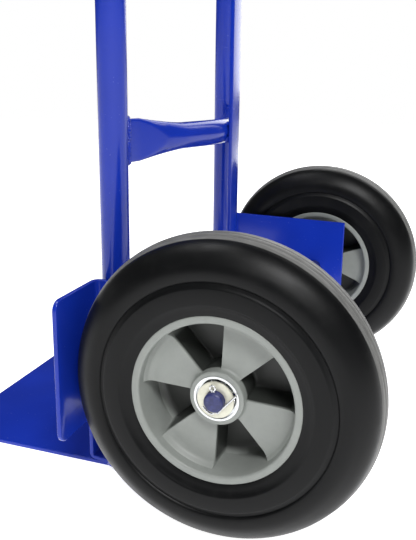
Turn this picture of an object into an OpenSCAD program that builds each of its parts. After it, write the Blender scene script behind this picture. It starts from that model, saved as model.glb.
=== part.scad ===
// Two-wheel hand truck: a welded tube frame with bowed crossbars and a centre strap, a bent toe
// plate, two axle brackets that carry wheel guards, a through axle and two ball-bearing wheels.
// Millimetres. +Z is up, the toe plate points to -Y and the user stands at +Y, facing -Y, so the
// user's left is +X. The origin is on the floor, on the middle plane, halfway between the toe
// plate's front edge and the back of the tyres.

/* [Frame] */
// Height of the hand truck, from the floor to the top of the grips
frame_height = 1255; // [1000:5:1500]
// Distance between the centre lines of the two side tubes
tube_spacing = 305.2; // [250:0.1:400]
// Outer diameter of the side tubes and the crossbars
tube_d = 25.4; // [22:0.1:32]
// Wall thickness of the tubes
tube_wall = 1.8; // [1.2:0.1:2.4]
// Gap between the floor and the lower ends of the side tubes
tube_foot = 3; // [1:0.5:8]

/* [Handles] */
// Angle that the handles lean back from upright, in degrees
handle_angle = 65; // [40:1:80]
// Radius of the handle bend, to the tube's centre line
handle_bend_r = 110; // [80:1:150]
// Straight length of each handle after its bend
handle_length = 150; // [135:1:200]
// Length of tube that each grip covers
grip_length = 120; // [90:1:130]
// Outer diameter of the grips
grip_d = 33; // [32.8:0.1:42]
// Thickness of the closed end of each grip
grip_cap = 5; // [3:0.5:8]
// Number of grooves round each grip
grip_grooves = 9; // [4:1:12]

/* [Crossbars] */
// Height of the bottom crossbar above the floor
bottom_crossbar_z = 95; // [60:1:140]
// Height of the lower crossbar above the floor
lower_crossbar_z = 311; // [240:1:360]
// Distance from the top crossbar up to the start of the handle bend
top_crossbar_drop = 190; // [60:1:240]
// How far the middle of each crossbar bows back from its ends
crossbar_bow = 36; // [20:1:50]
// Height of the flattened ends of the crossbars
blade_h = 38; // [34:0.5:46]
// Thickness of the flattened ends
blade_t = 3.8; // [3.6:0.1:5]
// Length of each flattened end
blade_length = 13; // [10:1:18]
// Length over which the round tube flares into each flattened end
flare_length = 60; // [40:1:64]
// Width of the centre strap
strap_w = 25.4; // [16:0.1:40]
// Thickness of the centre strap
strap_t = 4; // [3:0.1:6]
// How far the strap runs past the bottom and top crossbars' centre lines
strap_overrun = 22; // [14:1:40]

/* [Toe plate] */
// Width of the toe plate
toe_width = 320; // [280:1:400]
// Reach of the toe plate in front of the side tubes
toe_reach = 182.1; // [120:0.1:260]
// Thickness of the toe plate
toe_t = 4; // [3:0.1:6]
// Height of the toe plate's upright back flange
toe_back_h = 58; // [40:1:62]
// Inside radius of the toe plate's bend
toe_bend_r = 6; // [4:0.5:12]
// Radius of the front corners
toe_corner_r = 14; // [6:1:30]

/* [Axle brackets] */
// Height of the brackets, centred on the axle
bracket_h = 126; // [90:1:150]
// Thickness of the bracket plate
bracket_t = 4; // [3:0.1:6]
// How far the brackets run behind the axle's centre line
bracket_tail = 36; // [24:1:50]
// Inside radius of the bend between bracket and wheel guard
bracket_bend_r = 4; // [3:0.5:8]
// Radius of the wheel guard's outer corners
guard_corner_r = 9; // [4:1:16]
// Radius of the corners at the bracket's tail
tail_corner_r = 1.5; // [0.5:0.5:8]
// Rise of the bracket's lower edge towards its tail
tail_rise = 36; // [10:1:40]
// Gap between the wheel guard and the front of the tyre
guard_gap = 7; // [6:0.5:20]
// How far the wheel guard's back face stands behind the fronts of the side tubes
guard_inset = 1.9; // [0:0.1:3]
// How far the wheel guard's outer edge stops short of the side of the tyre
guard_short = 4; // [0:0.5:8]

/* [Wheels] */
// Outer diameter of the tyres
tyre_d = 254; // [210:1:310]
// Width of the tyres at their widest
tyre_w = 62; // [58:1:76]
// Gap between the bracket and the side of the tyre
wheel_gap = 8.7; // [5:0.1:20]
// Outer diameter of the rim's lips
rim_d = 137.4; // [120:0.1:160]
// Width of the rim over its lips
rim_w = 54; // [46:0.5:56]
// Radial height of the rim's lips
lip_h = 4; // [3:0.5:6]
// Wall thickness of the rim's barrel
rim_wall = 3.2; // [2.5:0.1:4]
// Distance between the outer and the inner faces of the hub's pressed spokes
web_depth = 27; // [20:1:34]
// Wall thickness of the hub's spokes
web_t = 3; // [2:0.1:4]
// Angle that each of the four spokes spans, in degrees
spoke_angle = 46; // [36:1:54]
// Angle of the left wheel's first spoke above the rearward direction, in degrees
left_hub_phase = 64.5; // [0:0.5:89.5]
// Angle of the right wheel's first spoke above the rearward direction, in degrees
right_hub_phase = 44.5; // [0:0.5:89.5]
// Outer diameter of the hub's boss
boss_d = 44; // [42:0.5:52]
// Length of the hub's boss
boss_length = 40.8; // [36:0.1:46]

/* [Axle and bearings] */
// Diameter of the axle
axle_d = 15.9; // [12.7:0.1:19.1]
// Radial clearance between the axle and the pieces on it
axle_fit = 0.05; // [0.02:0.01:0.1]
// Thickness of the thrust washers
washer_t = 2; // [1.5:0.1:3]
// Width of each washer's face, from the axle to its rim
washer_band = 6.95; // [5:0.05:7.2]
// Diameter of the bearing balls
ball_d = 5.2; // [4.8:0.1:5.2]
// Number of balls in each bearing
ball_count = 9; // [7:1:10]
// Depth of the bearing seats in the boss
seat_depth = 9; // [8:0.5:12]
// Diameter of the cotter pins
cotter_d = 3; // [2.4:0.1:3.6]

/* [Hidden] */
$fn = 96;
cut = 1;
side_left = 1;
side_right = -1;

tube_r = tube_d / 2;
tube_x = tube_spacing / 2;
tyre_r = tyre_d / 2;
axle_r = axle_d / 2;

depth = toe_reach + guard_gap + guard_inset + tyre_d;
toe_front = -depth / 2;
axle_y = depth / 2 - tyre_r;
axle_z = tyre_r;
guard_y = axle_y - tyre_r - guard_gap;
tube_front = guard_y - guard_inset;
tube_y = tube_front + tube_r;

// The handle: where its bend starts, and where its straight part starts.
grip_r = grip_d / 2;
bend_z = frame_height - handle_bend_r * sin(handle_angle)
    - (handle_length + grip_cap) * cos(handle_angle) - grip_r * sin(handle_angle);
handle_y = tube_y + handle_bend_r * (1 - cos(handle_angle));
handle_z = bend_z + handle_bend_r * sin(handle_angle);
handle_draw = 0.05;
handle_lap = 1;

// The crossbars: an arc in the middle and a straight arm on each side. The front corner of each
// arm's end touches the back of its tube, part of the way round to the inside.
top_crossbar_z = bend_z - top_crossbar_drop;
upper_crossbar_z = (lower_crossbar_z + top_crossbar_z) / 2;
bar_touch = 50;
bar_bend_r = 120;
bar_end_x = tube_x - tube_r * sin(bar_touch) - 0.02;
bar_end_y = tube_y + tube_r * cos(bar_touch);
bar_apex_y = bar_end_y + blade_t / 2 + crossbar_bow;
bar_rise = bar_bend_r - (bar_apex_y - bar_end_y);
bar_front_r = bar_bend_r - blade_t / 2;
bar_span = norm([bar_end_x, bar_rise]);
bar_angle = atan2(bar_end_x, bar_rise) - acos(bar_front_r / bar_span);
bar_arc = bar_bend_r * bar_angle * PI / 180;
bar_half = bar_arc + sqrt(bar_span * bar_span - bar_front_r * bar_front_r);
bar_round = bar_half - blade_length - flare_length;
strap_y = bar_apex_y + tube_r;

// The wheels and what holds them on, outwards from each wheel's middle plane.
bracket_x = tube_x + tube_r;
wheel_x = bracket_x + bracket_t + wheel_gap + tyre_w / 2;
rim_r = rim_d / 2;
seat_r = rim_r - lip_h;
lip_t = 3.6;
barrel_r = seat_r - rim_wall;
wall_angle = 3.6;
boss_r = boss_d / 2;
boss_half = boss_length / 2;
cup_lip = 0.6;
cone_end = boss_half + 0.9;
washer_r = axle_r + washer_band;
washer_end = cone_end + washer_t;
pin_x = washer_end + cotter_d / 2 + 1.2;
axle_end = pin_x + cotter_d / 2 + 1.9;
axle_chamfer = 1.4;
pin_lean = 6.7;

// The bearings. Each race follows the balls with a little play.
ball_r = ball_d / 2;
ball_play = 0.15;
pitch_r = axle_r + 4.95;
cone_r = axle_r + 2.95;
cup_r = axle_r + 9.5;
race_r = pitch_r + 2;
cup_shell = 0.9;
cup_flange_r = cup_r + 0.85;
ball_z = boss_half - seat_depth + 3.4;
race_end = boss_half - 2.2;

function mix(a, b, t) = a + (b - a) * t;
function bezier(a, b, c, steps) = [
    for (i = [0:steps]) let (t = i / steps)
        a * (1 - t) * (1 - t) + b * 2 * t * (1 - t) + c * t * t
];

// Draws its children on the left as they are, and on the right as their mirror image.
module sided(side) {
    if (side == side_left) children();
    else mirror([1, 0, 0]) children();
}

// Puts its children on the left axle end: their +Z points outwards along the axle, and their
// origin is on the wheel's middle plane.
module on_axle(side) {
    sided(side) translate([wheel_x, axle_y, axle_z]) rotate([0, 90, 0]) children();
}

// A round bar along the side tube's centre line; past lengthens both ends. The straight handle is
// drawn down a little and starts inside the bend.
module tube_path(r, past) {
    translate([0, tube_y, tube_foot - past]) cylinder(r = r, h = bend_z - tube_foot + past);
    translate([0, tube_y + handle_bend_r, bend_z]) rotate([90, 0, 90])
        rotate_extrude(angle = handle_angle, start = 180 - handle_angle)
            translate([handle_bend_r, 0]) circle(r = r);
    translate([0, handle_y, handle_z]) rotate([-handle_angle, 0, 0])
        translate([0, 0, -handle_lap]) cylinder(r = r - handle_draw, h = handle_length + handle_lap + past);
}

module side_tube(side) {
    color("royalblue") translate([side * tube_x, 0, 0]) difference() {
        tube_path(tube_r, 0);
        tube_path(tube_r - tube_wall, cut);
    }
}

module grip(side) {
    groove_r = 1.2;
    pitch = (grip_length - 24) / (grip_grooves - 1);
    color("black") translate([side * tube_x, handle_y, handle_z])
        rotate([-handle_angle, 0, 0]) translate([0, 0, handle_length - grip_length])
            difference() {
                cylinder(r = grip_r, h = grip_length + grip_cap);
                translate([0, 0, -cut]) cylinder(r = tube_r - handle_draw, h = grip_length + cut);
                for (i = [0:grip_grooves - 1])
                    translate([0, 0, 12 + i * pitch]) rotate_extrude()
                        translate([grip_r + groove_r / 2, 0]) circle(r = groove_r, $fn = 24);
            }
}

// Outline of a crossbar's section: a circle that flattens into two flats with round edges.
function bar_section(d, h, n) = [
    for (i = [0:2 * n - 1])
        let (a = (i + 0.5) * 180 / n, lift = i < n ? h - d : d - h)
            [d * cos(a), lift + d * sin(a)]
];

// How flat the bar is at a distance along it from its middle: 0 is round and 1 is flat.
function bar_flat(s) = pow(min(1, max(0, (abs(s) - bar_round) / flare_length)), 1.35);

// One ring of points round the bar at distance s, thinner by wall.
function bar_ring(s, wall, n) =
    let (
        f = bar_flat(s),
        a = sign(s) * min(abs(s), bar_arc) / bar_bend_r * 180 / PI,
        arm = max(0, abs(s) - bar_arc),
        middle = [
            bar_bend_r * sin(a) + sign(s) * arm * cos(a),
            bar_apex_y - bar_bend_r * (1 - cos(a)) - arm * sin(abs(a))
        ],
        section = bar_section(mix(tube_r, blade_t / 2, f) - wall, mix(tube_r, blade_h / 2, f) - wall, n)
    ) [
        for (p = section) [middle[0] + p[0] * sin(a), middle[1] + p[0] * cos(a), p[1]]
    ];

// Triangles between ring a and ring b of m points, turned round when flip is true.
function band(a, b, m, flip) = [
    for (i = [0:m - 1])
        let (j = (i + 1) % m, p = a * m + i, q = a * m + j, r = b * m + j, s = b * m + i)
            each (flip ? [[p, r, q], [p, s, r]] : [[p, q, r], [p, r, s]])
];

module crossbar(z) {
    n = 12;
    m = 2 * n;
    half = concat(
        [for (k = [1:6]) bar_round * k / 6],
        [for (k = [1:6]) bar_round + flare_length * k / 6],
        [bar_half]
    );
    stations = concat([for (k = [len(half) - 1:-1:0]) -half[k]], [0], half);
    last = len(stations) - 1;
    points = concat(
        [for (s = stations) each bar_ring(s, 0, n)],
        [for (s = stations) each bar_ring(s, tube_wall - 0.3, n)]
    );
    faces = concat(
        [for (k = [0:last - 1]) each band(k, k + 1, m, true)],
        [for (k = [0:last - 1]) each band(last + 1 + k, last + 2 + k, m, false)],
        band(0, last + 1, m, false),
        band(last, 2 * last + 1, m, true)
    );
    color("royalblue") translate([0, 0, z]) polyhedron(points = points, faces = faces);
}

module centre_strap() {
    low = bottom_crossbar_z - strap_overrun;
    color("royalblue") translate([-strap_w / 2, strap_y, low])
        cube([strap_w, strap_t, top_crossbar_z + strap_overrun - low]);
}

// The toe plate's side view, in Y and Z: a flat foot, a bend and an upright flange.
module toe_profile() {
    outer = toe_bend_r + toe_t;
    back = tube_front;
    translate([toe_front, 0]) square([back - outer - toe_front, toe_t]);
    translate([back - toe_t, outer]) square([toe_t, toe_back_h - outer]);
    translate([back - outer, outer]) intersection() {
        difference() {
            circle(r = outer);
            circle(r = toe_bend_r);
        }
        translate([0, -outer]) square(outer);
    }
}

module toe_plate() {
    color("royalblue") intersection() {
        translate([-toe_width / 2, 0, 0]) rotate([90, 0, 90])
            linear_extrude(height = toe_width) toe_profile();
        linear_extrude(height = toe_back_h) union() {
            translate([-toe_width / 2, toe_front + toe_corner_r])
                square([toe_width, tube_front - toe_front - toe_corner_r]);
            translate([toe_corner_r - toe_width / 2, toe_front])
                square([toe_width - 2 * toe_corner_r, toe_corner_r]);
            for (s = [-1, 1]) translate([s * (toe_width / 2 - toe_corner_r), toe_front + toe_corner_r])
                circle(r = toe_corner_r);
        }
    }
}

// The bracket's side view, in Y and Z from the axle: its tail is rounded and its foot slopes up.
module bracket_outline(front) {
    r = tail_corner_r;
    half = bracket_h / 2;
    top = half - 2;
    difference() {
        union() {
            polygon([
                [front, -half], [-bracket_h / 2, -half], [bracket_tail - r, tail_rise - half],
                [bracket_tail - r, top], [front, half]
            ]);
            translate([bracket_tail - r, tail_rise - half + r])
                square([r, top - tail_rise + half - 2 * r]);
            for (z = [tail_rise - half + r, top - r]) translate([bracket_tail - r, z]) circle(r = r);
        }
        circle(r = axle_r + axle_fit);
    }
}

// The guard's front view, in X and Z from the axle: both outer corners are rounded.
module guard_outline(near, far) {
    r = guard_corner_r;
    half = bracket_h / 2;
    translate([near, -half]) square([far - near - r, bracket_h]);
    translate([far - r, r - half]) square([r, bracket_h - 2 * r]);
    for (z = [r - half, half - r]) translate([far - r, z]) circle(r = r);
}

module axle_bracket(side) {
    outer = bracket_bend_r + bracket_t;
    bend_x = bracket_x + outer;
    bend_y = guard_y + bracket_bend_r;
    color("mediumblue") sided(side) {
        translate([bracket_x, axle_y, axle_z]) rotate([90, 0, 90])
            linear_extrude(height = bracket_t) bracket_outline(bend_y - axle_y);
        translate([0, guard_y, axle_z]) rotate([90, 0, 0])
            linear_extrude(height = bracket_t) guard_outline(bend_x, wheel_x + tyre_w / 2 - guard_short);
        translate([bend_x, bend_y, axle_z - bracket_h / 2]) linear_extrude(height = bracket_h)
            intersection() {
                difference() {
                    circle(r = outer);
                    circle(r = bracket_bend_r);
                }
                translate([-outer, -outer]) square(outer);
            }
    }
}

module axle() {
    half = wheel_x + axle_end;
    color("midnightblue") translate([0, axle_y, axle_z]) difference() {
        rotate([0, 90, 0]) union() {
            translate([0, 0, axle_chamfer - half]) cylinder(r = axle_r, h = 2 * (half - axle_chamfer));
            translate([0, 0, -half]) cylinder(r1 = axle_r - axle_chamfer, r2 = axle_r, h = axle_chamfer);
            translate([0, 0, half - axle_chamfer])
                cylinder(r1 = axle_r, r2 = axle_r - axle_chamfer, h = axle_chamfer);
        }
        for (s = [-1, 1]) translate([s * (wheel_x + pin_x), 0, 0]) rotate([pin_lean, 0, 0])
            cylinder(r = cotter_d / 2 + 0.3, h = 3 * axle_r, center = true);
    }
}

// A round sleeve along the axle, from one distance to another from the wheel's middle plane.
module sleeve(side, from, to, outer, inner) {
    on_axle(side) translate([0, 0, from]) difference() {
        cylinder(r = outer, h = to - from);
        translate([0, 0, -cut]) cylinder(r = inner, h = to - from + 2 * cut);
    }
}

module axle_spacer(side) {
    color("silver")
        sleeve(side, -wheel_gap - tyre_w / 2, -washer_end, axle_r + 3, axle_r + axle_fit);
}

module inner_washer(side) {
    color("ivory") sleeve(side, -washer_end, -cone_end, washer_r, axle_r + axle_fit);
}

module outer_washer(side) {
    color("ivory") sleeve(side, cone_end, washer_end, washer_r, axle_r + axle_fit);
}

// A round wire of radius r along a route of [y, z] points in the plane X = 0, with n sides.
module wire(route, r, n) {
    last = len(route) - 1;
    function along(i) = let (d = route[min(i + 1, last)] - route[max(i - 1, 0)]) d / norm(d);
    rings = [
        for (i = [0:last]) let (d = along(i)) for (k = [0:n - 1]) let (a = k * 360 / n)
            [
                r * sin(a),
                route[i][0] - r * cos(a) * d[1],
                route[i][1] + r * cos(a) * d[0]
            ]
    ];
    faces = concat(
        [for (i = [0:last - 1]) each band(i, i + 1, n, true)],
        [[for (k = [0:n - 1]) k], [for (k = [n - 1:-1:0]) last * n + k]]
    );
    polyhedron(points = rings, faces = faces);
}

// A split pin seen along the axle: one wire that runs up from the short leg, round the eye and
// down to the long leg. Each bend below the axle is an angle round it and a height above it.
module cotter_pin(side) {
    wire_r = cotter_d / 4;
    shank_x = wire_r + 0.05;
    eye_r = cotter_d * 0.72;
    eye_z = axle_r + 1 + eye_r;
    long_leg = [[-83, 1.2], [-74, 2.3], [-61, 2.4], [-1, 2.7], [27, 11.2]];
    short_leg = [[-97, 1.2], [-104, 2.3], [-113, 2.4], [-148, 2.8]];
    function bend(b) = (axle_r + b[1]) * [cos(b[0]), sin(b[0])];
    route = concat(
        [for (i = [len(short_leg) - 1:-1:0]) bend(short_leg[i])],
        [[-shank_x, -axle_r + 0.8], [-shank_x, axle_r + 0.4]],
        [for (a = [250:-20:-70]) [eye_r * cos(a), eye_z + eye_r * sin(a)]],
        [[shank_x, axle_r + 0.4], [shank_x, -axle_r + 0.8]],
        [for (b = long_leg) bend(b)]
    );
    color("silver") sided(side) translate([wheel_x + pin_x, axle_y, axle_z])
        rotate([pin_lean, 0, 0]) wire(route, wire_r, 8);
}

// Section of the groove that the balls run in.
module race_cut() {
    translate([pitch_r, ball_z]) circle(r = ball_r + ball_play, $fn = 48);
}

// The inward end of the wheel is the mirror image of its outward end.
module wheel_end(side, outward) {
    on_axle(side) mirror([0, 0, outward ? 0 : 1]) children();
}

module bearing_cone(side, outward) {
    color("gainsboro") wheel_end(side, outward) rotate_extrude() difference() {
        translate([axle_r + axle_fit, boss_half - seat_depth])
            square([cone_r - axle_r - axle_fit, cone_end - boss_half + seat_depth]);
        race_cut();
    }
}

module bearing_cup(side, outward) {
    color("gainsboro") wheel_end(side, outward) rotate_extrude() difference() {
        union() {
            translate([race_r, boss_half - seat_depth])
                square([cup_r - race_r, race_end - boss_half + seat_depth]);
            translate([cup_r - cup_shell, boss_half - seat_depth])
                square([cup_shell, seat_depth + cup_lip]);
            translate([cup_r - cup_shell, boss_half])
                square([cup_flange_r - cup_r + cup_shell, cup_lip]);
        }
        race_cut();
    }
}

module bearing_balls(side, outward) {
    color("silver") wheel_end(side, outward) for (i = [0:ball_count - 1])
        rotate([0, 0, i * 360 / ball_count]) translate([pitch_r, 0, ball_z]) sphere(r = ball_r);
}

// A wedge of the hub's web, between two angles and two heights.
module web_sector(from, to, low, high) {
    reach = 2 * seat_r;
    translate([0, 0, low]) linear_extrude(height = high - low) intersection() {
        difference() {
            circle(r = barrel_r + rim_wall / 2);
            circle(r = boss_r - 2);
        }
        polygon([
            [0, 0], reach * [cos(from), sin(from)], reach * [cos((from + to) / 2), sin((from + to) / 2)],
            reach * [cos(to), sin(to)]
        ]);
    }
}

// The web zigzags round the boss: spokes level with one face of the wheel, pockets whose floors
// are level with the other, and a radial wall between each spoke and each pocket.
module web() {
    face = web_depth / 2;
    for (k = [0:3]) {
        from = k * 90 - spoke_angle / 2;
        to = k * 90 + spoke_angle / 2;
        web_sector(from, to, face - web_t, face);
        web_sector(to - wall_angle, from + 90 + wall_angle, -face, web_t - face);
        web_sector(from, from + wall_angle, -face, face);
        web_sector(to - wall_angle, to, -face, face);
    }
}

module hub(side, phase) {
    half = rim_w / 2;
    color("slategray") on_axle(side) rotate([0, 0, phase]) difference() {
        union() {
            rotate_extrude() {
                translate([barrel_r, -half]) square([seat_r - barrel_r, rim_w]);
                for (z = [-half, half - lip_t]) translate([barrel_r, z]) square([rim_r - barrel_r, lip_t]);
            }
            cylinder(r = boss_r, h = boss_length, center = true);
            web();
        }
        cylinder(r = race_r, h = 2 * boss_length, center = true);
        for (s = [-1, 1]) translate([0, 0, s * boss_half])
            cylinder(r = cup_r, h = 2 * seat_depth, center = true);
    }
}

// Half of the tyre's section, in radius and distance from its middle plane: the bead behind the
// rim's lip, a raised band between two rounded edges, a crease, the side wall and the tread.
function tyre_half() = let (
    w = tyre_w / 2,
    lip = rim_w / 2,
    tread_w = w * 0.49,
    side_r = rim_r + (tyre_r - rim_r) * 0.6,
    crease_r = rim_r + (tyre_r - rim_r) * 0.45
) concat(
    [[rim_r + 0.2, lip]],
    bezier([rim_r + 3, lip + 0.4], [rim_r + 8.5, w], [rim_r + 11.5, w], 6),
    bezier([crease_r - 5.5, w], [crease_r - 2.5, w], [crease_r - 0.5, w - 1], 4),
    bezier([crease_r + 0.5, w - 1], [crease_r + 2, w - 0.2], [side_r, w - 0.6], 4),
    bezier([side_r + 2, w - 0.9], [side_r + 14, w * 0.84], [tyre_r - 2.7, tread_w], 8),
    [[tyre_r - 1.2, tread_w * 0.86]]
);

// The tread: fine ribs round the tyre, across its middle.
function tread() = let (w = tyre_w * 0.245 * 0.8, ribs = 5, pitch = 2 * w / ribs) [
    for (i = [0:ribs - 1]) each [
        [tyre_r - (i == 0 ? 0.4 : 0), w - i * pitch - 0.5],
        [tyre_r - (i == ribs - 1 ? 0.4 : 0), w - (i + 1) * pitch + 0.5],
        if (i < ribs - 1) [tyre_r - 1, w - (i + 1) * pitch]
    ]
];

module tyre(side) {
    seat_half = rim_w / 2 - lip_t;
    upper = tyre_half();
    lower = [for (i = [len(upper) - 1:-1:0]) [upper[i][0], -upper[i][1]]];
    bead = [
        [rim_r + 0.2, -seat_half], [seat_r, -seat_half], [seat_r, seat_half], [rim_r + 0.2, seat_half]
    ];
    color("black") on_axle(side) rotate_extrude($fn = 180)
        polygon(concat(upper, tread(), lower, bead));
}

toe_plate();
side_tube(side_left);  // left_side_tube
side_tube(side_right);  // right_side_tube
crossbar(bottom_crossbar_z);  // bottom_crossbar
crossbar(lower_crossbar_z);  // lower_crossbar
crossbar(upper_crossbar_z);  // upper_crossbar
crossbar(top_crossbar_z);  // top_crossbar
centre_strap();
axle_bracket(side_left);  // left_axle_bracket
axle_bracket(side_right);  // right_axle_bracket
axle();
grip(side_left);  // left_grip
grip(side_right);  // right_grip
axle_spacer(side_left);  // left_axle_spacer
axle_spacer(side_right);  // right_axle_spacer
inner_washer(side_left);  // left_inner_washer
inner_washer(side_right);  // right_inner_washer
outer_washer(side_left);  // left_outer_washer
outer_washer(side_right);  // right_outer_washer
cotter_pin(side_left);  // left_cotter_pin
cotter_pin(side_right);  // right_cotter_pin
bearing_cone(side_left, true);  // left_outer_bearing_cone
bearing_cone(side_right, true);  // right_outer_bearing_cone
bearing_cone(side_left, false);  // left_inner_bearing_cone
bearing_cone(side_right, false);  // right_inner_bearing_cone
tyre(side_left);  // left_tyre
tyre(side_right);  // right_tyre
hub(side_left, left_hub_phase);  // left_hub
hub(side_right, right_hub_phase);  // right_hub
bearing_cup(side_left, true);  // left_outer_bearing_cup
bearing_cup(side_right, true);  // right_outer_bearing_cup
bearing_cup(side_left, false);  // left_inner_bearing_cup
bearing_cup(side_right, false);  // right_inner_bearing_cup
bearing_balls(side_left, true);  // left_outer_bearing_balls
bearing_balls(side_right, true);  // right_outer_bearing_balls
bearing_balls(side_left, false);  // left_inner_bearing_balls
bearing_balls(side_right, false);  // right_inner_bearing_balls
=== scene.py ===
"""Looks for a two-wheel hand truck: painted tube frame, welds, bent plates, wheels and studio.

Run it as a script in Blender 4.5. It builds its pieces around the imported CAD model.
"""

import math
from contextlib import contextmanager

import bmesh
import bpy
from bpy.props import FloatProperty, FloatVectorProperty, IntProperty, PointerProperty
from mathutils import Matrix, Vector, noise


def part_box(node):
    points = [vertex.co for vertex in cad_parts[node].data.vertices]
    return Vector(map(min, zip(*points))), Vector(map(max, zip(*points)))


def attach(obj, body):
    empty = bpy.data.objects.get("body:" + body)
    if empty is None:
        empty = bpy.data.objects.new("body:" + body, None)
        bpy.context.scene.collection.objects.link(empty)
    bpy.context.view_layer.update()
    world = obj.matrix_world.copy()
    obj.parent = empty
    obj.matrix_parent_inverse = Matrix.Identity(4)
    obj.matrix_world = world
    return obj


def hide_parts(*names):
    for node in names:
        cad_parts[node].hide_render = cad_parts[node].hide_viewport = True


bl_info = {
    "name": "Hand Truck Looks",
    "version": (1, 0, 0),
    "blender": (4, 5, 0),
    "location": "View3D > Sidebar > Hand Truck",
    "description": "Builds the visible pieces, finishes and studio of a hand truck",
    "category": "Object",
}

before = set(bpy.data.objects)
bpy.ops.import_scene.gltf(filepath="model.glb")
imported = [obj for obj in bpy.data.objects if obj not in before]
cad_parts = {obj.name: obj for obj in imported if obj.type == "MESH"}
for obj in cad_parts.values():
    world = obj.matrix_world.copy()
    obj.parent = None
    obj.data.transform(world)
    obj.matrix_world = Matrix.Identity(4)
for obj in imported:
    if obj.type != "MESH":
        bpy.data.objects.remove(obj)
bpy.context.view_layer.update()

SIDES = ("left", "right")
CROSSBARS = ("bottom", "lower", "upper", "top")


def clamp(value):
    """The value, held between 0 and 1."""
    return min(1.0, max(0.0, value))


def middle(node):
    """The middle of a CAD node's box."""
    low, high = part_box(node)
    return (low + high) / 2


def wheel_centre(side):
    """The point on the axle in the middle plane of one wheel."""
    return middle(f"{side}_tyre")


# ---------------------------------------------------------------- settings


def length_setting(name, description, metres):
    return FloatProperty(name=name, description=description, default=metres, min=0.0005,
                         subtype="DISTANCE", unit="LENGTH")


def angle_setting(name, description, degrees):
    return FloatProperty(name=name, description=description, default=math.radians(degrees),
                         subtype="ANGLE", unit="ROTATION")


def power_setting(name, description, watts):
    return FloatProperty(name=name, description=description, default=watts, min=0, unit="POWER")


def colour_setting(name, description, shade):
    return FloatVectorProperty(name=name, description=description, default=shade, min=0, max=1,
                               subtype="COLOR")


class HandTruckFrameSettings(bpy.types.PropertyGroup):
    tube_radius: length_setting(
        "Tube Radius", "Outer radius of the side tubes and the crossbars", 0.0127)
    tube_wall: length_setting("Tube Wall", "Wall thickness of the tubes", 0.0018)
    handle_angle: angle_setting("Handle Angle", "How far the handles lean back from upright", 65)
    handle_bend: length_setting(
        "Handle Bend", "Radius of the handle bend along the tube's centre line", 0.11)
    handle_length: length_setting(
        "Handle Length", "Straight length of each handle after its bend", 0.15)
    crossbar_bend: length_setting(
        "Crossbar Bend", "Radius of the arc in the middle of each crossbar", 0.12)
    blade_height: length_setting("Blade Height", "Height of a crossbar's flattened ends", 0.038)
    blade_thickness: length_setting(
        "Blade Thickness", "Thickness of a crossbar's flattened ends", 0.0038)
    blade_length: length_setting("Blade Length", "Length of each flattened end", 0.013)
    flare_length: length_setting(
        "Flare Length", "Length over which the round tube flattens", 0.060)
    sheet: length_setting("Sheet Thickness", "Thickness of the toe plate and the brackets", 0.004)
    weld_radius: length_setting("Weld Radius", "Half the width of a weld bead", 0.0026)
    paint_colour: colour_setting(
        "Paint", "Colour of the frame's powder coat", (0.006, 0.027, 0.34))


class HandTruckWheelSettings(bpy.types.PropertyGroup):
    rim_radius: length_setting("Rim Radius", "Outer radius of the rim's lips", 0.0687)
    boss_radius: length_setting("Boss Radius", "Outer radius of the hub's boss", 0.022)
    spoke_angle: angle_setting("Spoke Angle", "Angle that each spoke spans", 46)
    left_phase: angle_setting(
        "Left Phase", "Angle of the left wheel's first spoke above the rear", 64.5)
    right_phase: angle_setting(
        "Right Phase", "Angle of the right wheel's first spoke above the rear", 44.5)
    tread_ribs: IntProperty(
        name="Tread Ribs", description="Number of ribs round each tread", default=5, min=1)
    rubber_colour: colour_setting("Rubber", "Colour of the tyres", (0.003, 0.0032, 0.0035))
    plastic_colour: colour_setting("Plastic", "Colour of the hubs", (0.235, 0.25, 0.235))


class HandTruckStudioSettings(bpy.types.PropertyGroup):
    key_power: power_setting("Key Light", "Power of the overhead softbox in watts", 85)
    fill_power: power_setting("Fill Light", "Power of the softbox at the front in watts", 30)
    back_power: power_setting("Back Light", "Power of the softbox on the far side in watts", 45)
    surround: FloatProperty(
        name="Surround", description="Brightness of the studio's walls", default=0.08, min=0)
    lens: FloatProperty(
        name="Lens", description="Focal length of the camera in millimetres",
        default=44.84, min=10)


# ---------------------------------------------------------------- shader nodes


class Socket:
    """An output socket of a finish's node tree. Maths on it adds Math nodes."""

    def __init__(self, finish, socket):
        self.finish = finish
        self.socket = socket

    def __add__(self, other):
        return self.finish.maths("ADD", self, other)

    __radd__ = __add__

    def __sub__(self, other):
        return self.finish.maths("SUBTRACT", self, other)

    def __rsub__(self, other):
        return self.finish.maths("SUBTRACT", other, self)

    def __mul__(self, other):
        return self.finish.maths("MULTIPLY", self, other)

    __rmul__ = __mul__


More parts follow.
